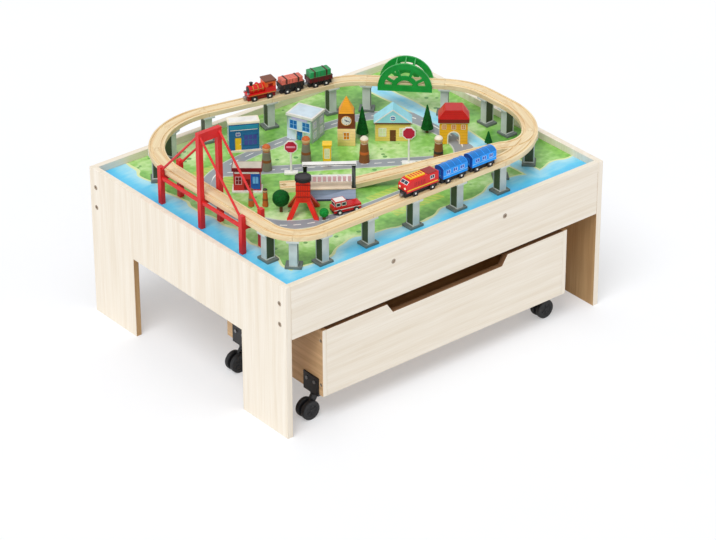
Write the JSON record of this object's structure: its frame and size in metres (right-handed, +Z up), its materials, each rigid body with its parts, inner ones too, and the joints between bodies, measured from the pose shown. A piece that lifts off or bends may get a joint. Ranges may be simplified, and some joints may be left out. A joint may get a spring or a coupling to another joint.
{
  "type": "train table",
  "caption": "Wooden train table with panel legs, a drawer on casters, a raised railway with bridges, trains that roll on it and a toy town.",
  "frame": {"origin": "on the floor under the middle of the table", "axes": "+X along the table to the right seen from the drawer side, +Y from the drawer side to the back, +Z up"},
  "size_m": [0.99, 0.78, 0.641],
  "materials": {
    "frame_wood": "clear satin lacquer",
    "inner_wood": "bare",
    "printed_board": "printed, satin",
    "screw_steel": "dark",
    "caster_plastic": "moulded",
    "caster_tread": "moulded",
    "track_beech": "sanded",
    "riser_grey": "painted",
    "bridge_red": "painted",
    "arch_green": "moulded",
    "engine_red": "gloss paint",
    "coach_blue": "gloss paint",
    "wagon_salmon": "gloss paint",
    "wagon_green": "gloss paint",
    "train_wheel": "moulded",
    "shop_blue": "painted",
    "gate_pale_blue": "painted",
    "clock_gold": "painted",
    "house_yellow": "painted",
    "arch_house_orange": "painted",
    "station_grey": "painted",
    "kiosk_red": "painted",
    "tower_red": "painted",
    "tree_green": "painted",
    "sign_red": "painted",
    "figure_brown": "painted",
    "car_red": "gloss paint"
  },
  "bodies": {
    "table": {"end_panel_left": "frame_wood", "end_panel_right": "frame_wood", "front_apron": "frame_wood", "back_apron": "frame_wood", "play_board": "printed_board", "cross_rails": "inner_wood", "corner_battens": "inner_wood", "frame_screws": "screw_steel", "loop_straights": "track_beech", "loop_curves": "track_beech", "branch_track": "track_beech", "track_risers": "riser_grey", "bridge_frames": "bridge_red", "bridge_stays": "bridge_red", "arch_bridge": "arch_green", "shop": "shop_blue", "gate_building": "gate_pale_blue", "clock_tower": "clock_gold", "house": "house_yellow", "arch_house": "arch_house_orange", "station": "station_grey", "kiosk": "kiosk_red", "water_tower": "tower_red", "trees": "tree_green", "road_signs": "sign_red", "figures": "figure_brown", "toy_car": "car_red"},
    "drawer": {"drawer_front": "frame_wood", "drawer_back": "inner_wood", "drawer_side_left": "inner_wood", "drawer_side_right": "inner_wood", "drawer_bottom": "inner_wood", "drawer_screws": "screw_steel", "caster_brackets": "caster_plastic"},
    "caster_fork_1": {"caster_fork_1": "caster_plastic"},
    "caster_wheel_1": {"caster_wheel_1": "caster_tread"},
    "caster_fork_2": {"caster_fork_2": "caster_plastic"},
    "caster_wheel_2": {"caster_wheel_2": "caster_tread"},
    "caster_fork_3": {"caster_fork_3": "caster_plastic"},
    "caster_wheel_3": {"caster_wheel_3": "caster_tread"},
    "caster_fork_4": {"caster_fork_4": "caster_plastic"},
    "caster_wheel_4": {"caster_wheel_4": "caster_tread"},
    "front_engine": {"front_engine": "engine_red"},
    "front_engine_front_axle": {"front_engine_front_axle": "train_wheel"},
    "front_engine_rear_axle": {"front_engine_rear_axle": "train_wheel"},
    "front_second": {"front_second": "coach_blue"},
    "front_second_front_axle": {"front_second_front_axle": "train_wheel"},
    "front_second_rear_axle": {"front_second_rear_axle": "train_wheel"},
    "front_third": {"front_third": "coach_blue"},
    "front_third_front_axle": {"front_third_front_axle": "train_wheel"},
    "front_third_rear_axle": {"front_third_rear_axle": "train_wheel"},
    "back_engine": {"back_engine": "engine_red"},
    "back_engine_front_axle": {"back_engine_front_axle": "train_wheel"},
    "back_engine_rear_axle": {"back_engine_rear_axle": "train_wheel"},
    "back_second": {"back_second": "wagon_salmon"},
    "back_second_front_axle": {"back_second_front_axle": "train_wheel"},
    "back_second_rear_axle": {"back_second_rear_axle": "train_wheel"},
    "back_third": {"back_third": "wagon_green"},
    "back_third_front_axle": {"back_third_front_axle": "train_wheel"},
    "back_third_rear_axle": {"back_third_rear_axle": "train_wheel"}
  },
  "joints": [
    {"name": "drawer_slide", "type": "slide", "parent": "table", "child": "drawer", "axis": [0, -1, 0], "range_m": [0, 0.4]},
    {"name": "caster_swivel_1", "type": "hinge", "parent": "drawer", "child": "caster_fork_1", "pos_m": [-0.373, -0.343, 0.066], "axis": [0, 0, 1], "continuous": true},
    {"name": "caster_roll_1", "type": "hinge", "parent": "caster_fork_1", "child": "caster_wheel_1", "pos_m": [-0.399, -0.343, 0.025], "axis": [0, 1, 0], "continuous": true},
    {"name": "caster_swivel_2", "type": "hinge", "parent": "drawer", "child": "caster_fork_2", "pos_m": [0.373, -0.343, 0.066], "axis": [0, 0, 1], "continuous": true},
    {"name": "caster_roll_2", "type": "hinge", "parent": "caster_fork_2", "child": "caster_wheel_2", "pos_m": [0.347, -0.343, 0.025], "axis": [0, 1, 0], "continuous": true},
    {"name": "caster_swivel_3", "type": "hinge", "parent": "drawer", "child": "caster_fork_3", "pos_m": [-0.373, -0.066, 0.066], "axis": [0, 0, 1], "continuous": true},
    {"name": "caster_roll_3", "type": "hinge", "parent": "caster_fork_3", "child": "caster_wheel_3", "pos_m": [-0.399, -0.066, 0.025], "axis": [0, 1, 0], "continuous": true},
    {"name": "caster_swivel_4", "type": "hinge", "parent": "drawer", "child": "caster_fork_4", "pos_m": [0.373, -0.066, 0.066], "axis": [0, 0, 1], "continuous": true},
    {"name": "caster_roll_4", "type": "hinge", "parent": "caster_fork_4", "child": "caster_wheel_4", "pos_m": [0.347, -0.066, 0.025], "axis": [0, 1, 0], "continuous": true},
    {"name": "front_engine_slide", "type": "slide", "parent": "table", "child": "front_engine", "axis": [-1, 0, 0], "range_m": [-0.015, 0.22]},
    {"name": "front_engine_front_axle_roll", "type": "hinge", "parent": "front_engine", "child": "front_engine_front_axle", "pos_m": [-0.061, -0.321, 0.4828], "axis": [0, -1, 0], "continuous": true},
    {"name": "front_engine_rear_axle_roll", "type": "hinge", "parent": "front_engine", "child": "front_engine_rear_axle", "pos_m": [-0.009, -0.321, 0.4828], "axis": [0, -1, 0], "continuous": true},
    {"name": "front_second_slide", "type": "slide", "parent": "table", "child": "front_second", "axis": [-1, 0, 0], "range_m": [-0.015, 0.22]},
    {"name": "front_second_front_axle_roll", "type": "hinge", "parent": "front_second", "child": "front_second_front_axle", "pos_m": [0.04, -0.321, 0.4828], "axis": [0, -1, 0], "continuous": true},
    {"name": "front_second_rear_axle_roll", "type": "hinge", "parent": "front_second", "child": "front_second_rear_axle", "pos_m": [0.082, -0.321, 0.4828], "axis": [0, -1, 0], "continuous": true},
    {"name": "front_third_slide", "type": "slide", "parent": "table", "child": "front_third", "axis": [-1, 0, 0], "range_m": [-0.015, 0.22]},
    {"name": "front_third_front_axle_roll", "type": "hinge", "parent": "front_third", "child": "front_third_front_axle", "pos_m": [0.131, -0.321, 0.4828], "axis": [0, -1, 0], "continuous": true},
    {"name": "front_third_rear_axle_roll", "type": "hinge", "parent": "front_third", "child": "front_third_rear_axle", "pos_m": [0.173, -0.321, 0.4828], "axis": [0, -1, 0], "continuous": true},
    {"name": "back_engine_slide", "type": "slide", "parent": "table", "child": "back_engine", "axis": [-0.9781, 0.2079, 0], "range_m": [0, 0.1]},
    {"name": "back_engine_front_axle_roll", "type": "hinge", "parent": "back_engine", "child": "back_engine_front_axle", "pos_m": [-0.04728, 0.31497, 0.4828], "axis": [-0.2079, -0.9781, 0], "continuous": true},
    {"name": "back_engine_rear_axle_roll", "type": "hinge", "parent": "back_engine", "child": "back_engine_rear_axle", "pos_m": [-0.0062, 0.30624, 0.4828], "axis": [-0.2079, -0.9781, 0], "continuous": true},
    {"name": "back_second_slide", "type": "slide", "parent": "table", "child": "back_second", "axis": [-0.9781, 0.2079, 0], "range_m": [0, 0.1]},
    {"name": "back_second_front_axle_roll", "type": "hinge", "parent": "back_second", "child": "back_second_front_axle", "pos_m": [0.04173, 0.29606, 0.4828], "axis": [-0.2079, -0.9781, 0], "continuous": true},
    {"name": "back_second_rear_axle_roll", "type": "hinge", "parent": "back_second", "child": "back_second_rear_axle", "pos_m": [0.07108, 0.28982, 0.4828], "axis": [-0.2079, -0.9781, 0], "continuous": true},
    {"name": "back_third_slide", "type": "slide", "parent": "table", "child": "back_third", "axis": [-0.9781, 0.2079, 0], "range_m": [0, 0.1]},
    {"name": "back_third_front_axle_roll", "type": "hinge", "parent": "back_third", "child": "back_third_front_axle", "pos_m": [0.11901, 0.27963, 0.4828], "axis": [-0.2079, -0.9781, 0], "continuous": true},
    {"name": "back_third_rear_axle_roll", "type": "hinge", "parent": "back_third", "child": "back_third_rear_axle", "pos_m": [0.14835, 0.27339, 0.4828], "axis": [-0.2079, -0.9781, 0], "continuous": true}
  ],
  "couplings": [
    {"joint": "front_engine_front_axle_roll", "follows": "front_engine_slide", "rad_per_m": 117.65},
    {"joint": "front_engine_rear_axle_roll", "follows": "front_engine_slide", "rad_per_m": 117.65},
    {"joint": "front_second_slide", "follows": "front_engine_slide", "ratio": 1},
    {"joint": "front_second_front_axle_roll", "follows": "front_engine_slide", "rad_per_m": 117.65},
    {"joint": "front_second_rear_axle_roll", "follows": "front_engine_slide", "rad_per_m": 117.65},
    {"joint": "front_third_slide", "follows": "front_engine_slide", "ratio": 1},
    {"joint": "front_third_front_axle_roll", "follows": "front_engine_slide", "rad_per_m": 117.65},
    {"joint": "front_third_rear_axle_roll", "follows": "front_engine_slide", "rad_per_m": 117.65},
    {"joint": "back_engine_front_axle_roll", "follows": "back_engine_slide", "rad_per_m": 117.65},
    {"joint": "back_engine_rear_axle_roll", "follows": "back_engine_slide", "rad_per_m": 117.65},
    {"joint": "back_second_slide", "follows": "back_engine_slide", "ratio": 1},
    {"joint": "back_second_front_axle_roll", "follows": "back_engine_slide", "rad_per_m": 117.65},
    {"joint": "back_second_rear_axle_roll", "follows": "back_engine_slide", "rad_per_m": 117.65},
    {"joint": "back_third_slide", "follows": "back_engine_slide", "ratio": 1},
    {"joint": "back_third_front_axle_roll", "follows": "back_engine_slide", "rad_per_m": 117.65},
    {"joint": "back_third_rear_axle_roll", "follows": "back_engine_slide", "rad_per_m": 117.65}
  ]
}
